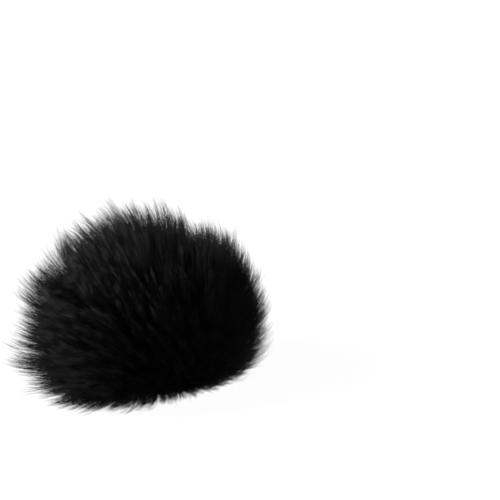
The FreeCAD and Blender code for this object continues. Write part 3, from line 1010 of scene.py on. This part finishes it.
def pitted(places, normals, depth):
    """Open cells: places sunk between the cell walls, and how deep each is, from 0 to 1."""
    rng = np.random.default_rng(SEED + 2)
    low_corner, high_corner = places.min(axis=0) - CELL, places.max(axis=0) + CELL
    axes = [np.arange(a, b, CELL) for a, b in zip(low_corner, high_corner)]
    seeds = np.stack(np.meshgrid(*axes, indexing="ij"), axis=-1).reshape(-1, 3)
    seeds = seeds + rng.uniform(-CELL_DISORDER, CELL_DISORDER, seeds.shape) * CELL
    across = np.linalg.norm(seeds[:, :2], axis=1)
    over = np.linalg.norm(seeds - np.array([0, 0, FOAM_LEVEL]), axis=1)
    distance = np.where(seeds[:, 2] > FOAM_LEVEL, over, across)
    low_down = seeds[:, 2] < FOAM_BOTTOM + FOAM_ROUND + CELL
    near = np.abs(distance - FOAM_RADIUS) < CELL
    seeds = seeds[near | (low_down & (distance < FOAM_RADIUS + CELL))]
    tree = KDTree(len(seeds))
    for index, seed in enumerate(seeds):
        tree.insert(seed, index)
    tree.balance()
    own = rng.uniform(SHALLOWEST_CELL, 1.0, len(seeds))
    sunk = np.empty(len(places))
    for index, place in enumerate(places):
        (_, nearest_seed, first), (_, _, second) = tree.find_n(place, 2)
        sunk[index] = own[nearest_seed] * smooth((second - first - CELL_WALL) / CELL_SLOPE)
    return places - normals * (sunk * depth)[:, None], sunk


def make_foam():
    """The foam block, with open cells all over its cut outside and a plain pocket for the grip."""
    profile = foam_profile()
    turn = np.tile(np.arange(FOAM_COLUMNS) * 2 * math.pi / FOAM_COLUMNS, len(profile))
    radius = np.repeat(profile[:, 0], FOAM_COLUMNS)
    places = on_ring(radius, turn, np.repeat(profile[:, 1], FOAM_COLUMNS))
    way = unit(np.gradient(profile, axis=0))
    out = np.repeat(np.stack([-way[:, 1], way[:, 0]], axis=1), FOAM_COLUMNS, axis=0)
    normals = on_ring(out[:, 0], turn, out[:, 1])
    normals = np.where((normals * places).sum(axis=1, keepdims=True) < 0, -normals, normals)
    outside_rows = FOAM_DOME_ROWS + FOAM_WALL_ROWS + FOAM_RIM_ROWS
    outer = np.repeat(np.arange(len(profile)) < outside_rows, FOAM_COLUMNS)
    pore = np.zeros(len(places))
    places[outer], pore[outer] = pitted(places[outer], normals[outer], PIT_DEPTH)
    waver = WAVER_DEPTH * (1 + ripple(places, SEED + 3, 5.0)) * outer
    places = places - normals * waver[:, None]
    piece = loft("foam_block", places.reshape(len(profile), FOAM_COLUMNS, 3), False)
    # Each place's depth in its cell is kept for the foam material, which paints shade into the cells
    # with it.
    layer = piece.data.attributes.new("pore", "FLOAT", "POINT")
    layer.data.foreach_set("value", pore.astype(np.float32))
    hold(piece, "core", "foam_core", foam_material())


def make_core_and_cover():
    """Everything under the fur: built pieces for some CAD nodes, materials for the others."""
    make_foam()
    make_gores()
    make_binding()
    thread = thread_material()
    make_hem_stitches(thread)
    make_seam_stitches(thread)
    dress("crown_tack", tack_material())
    elastic_middle = (high("hem_elastic") + low("hem_elastic")) / 2
    elastic_ring = high("hem_elastic").x - (high("hem_elastic").z - low("hem_elastic").z) / 2
    dress("hem_elastic", elastic_material(elastic_ring, elastic_middle.z))
    dress("elastic_join", sleeve_material())
    dress("grip_collar", silicone_material())


# ---------------------------------------------------------------- studio

CAMERA_ELEVATION = 16.0
CAMERA_ROLL = 10.0
CAMERA_DISTANCE = 700.0
FIELD_WIDTH = 96.0
# The camera aims this far up the object's axis, then this far to the right and up in its own view.
AIM_LEVEL = 15.0
AIM_RIGHT = 22.0
AIM_UP = 10.6
# The floor takes almost no light and glows white, so the fine hair at the rim isn't lost in glare.
FLOOR_SIZE = 6.0
FLOOR_GREY = 0.015
FLOOR_GLOW = 0.98
# The world is as bright as its walls up to WALL_TOP, and as its ceiling from CEILING_FROM up.
WALL_TOP = 0.1
WALL_LIGHT = 1.2
CEILING_FROM = 0.28
CEILING_LIGHT = 0.3
LIGHT_PLACE = (-0.56, 0.3, 0.42)
LIGHT_SIZE = 0.35
LIGHT_POWER = 58.0


def make_camera():
    """A distant camera a little above the floor, rolled to one side, with the ball at the lower left."""
    data = bpy.data.cameras.new("camera")
    data.sensor_width = 36.0
    data.lens = data.sensor_width * CAMERA_DISTANCE / FIELD_WIDTH
    data.clip_start = 0.01
    camera = bpy.data.objects.new("camera", data)
    bpy.context.scene.collection.objects.link(camera)
    tilt = math.radians(CAMERA_ELEVATION)
    back = Vector((0, -math.cos(tilt), math.sin(tilt)))
    turn = back.to_track_quat("Z", "Y").to_matrix().to_4x4()
    turn = turn @ Matrix.Rotation(math.radians(-CAMERA_ROLL), 4, "Z")
    right, up = turn.col[0].xyz, turn.col[1].xyz
    aim = Vector((0, 0, AIM_LEVEL)) + right * AIM_RIGHT + up * AIM_UP
    camera.matrix_world = Matrix.Translation((aim + back * CAMERA_DISTANCE) * MM) @ turn
    bpy.context.scene.camera = camera


def make_floor():
    """A dark matt floor that glows white."""
    bpy.ops.mesh.primitive_plane_add(size=FLOOR_SIZE)
    floor = bpy.context.object
    floor.name = "floor"
    material = bpy.data.materials.new("floor")
    material.use_nodes = True
    shader = material.node_tree.nodes["Principled BSDF"]
    shader.inputs["Base Color"].default_value = (FLOOR_GREY, FLOOR_GREY, FLOOR_GREY, 1)
    shader.inputs["Roughness"].default_value = 0.9
    shader.inputs["Specular IOR Level"].default_value = 0.0
    shader.inputs["Emission Color"].default_value = (1, 1, 1, 1)
    shader.inputs["Emission Strength"].default_value = FLOOR_GLOW
    floor.data.materials.append(material)


def make_world():
    """White walls round the horizon and a dimmer ceiling."""
    world = bpy.data.worlds.new("studio")
    bpy.context.scene.world = world
    world.use_nodes = True
    nodes, links = world.node_tree.nodes, world.node_tree.links
    split = nodes.new("ShaderNodeSeparateXYZ")
    links.new(nodes.new("ShaderNodeTexCoord").outputs["Generated"], split.inputs[0])
    ramp = nodes.new("ShaderNodeValToRGB")
    wall, ceiling = ramp.color_ramp.elements
    wall.position = WALL_TOP
    wall.color = (WALL_LIGHT, WALL_LIGHT, WALL_LIGHT, 1)
    ceiling.position = CEILING_FROM
    ceiling.color = (CEILING_LIGHT, CEILING_LIGHT, CEILING_LIGHT, 1)
    links.new(split.outputs[2], ramp.inputs[0])
    links.new(ramp.outputs[0], nodes["Background"].inputs["Color"])
    nodes["Background"].inputs["Strength"].default_value = 1.0


def make_light():
    """One large softbox, high on the left and behind the windscreen."""
    data = bpy.data.lights.new("softbox", "AREA")
    data.shape = "RECTANGLE"
    data.size = LIGHT_SIZE
    data.size_y = LIGHT_SIZE
    data.energy = LIGHT_POWER
    light = bpy.data.objects.new("softbox", data)
    bpy.context.scene.collection.objects.link(light)
    light.location = LIGHT_PLACE
    aim = Vector((0, 0, 0.02)) - Vector(light.location)
    light.rotation_euler = aim.to_track_quat("-Z", "Y").to_euler()


make_camera()
make_floor()
make_world()
make_light()
bpy.context.scene.view_settings.view_transform = "Standard"
make_fur()
make_core_and_cover()
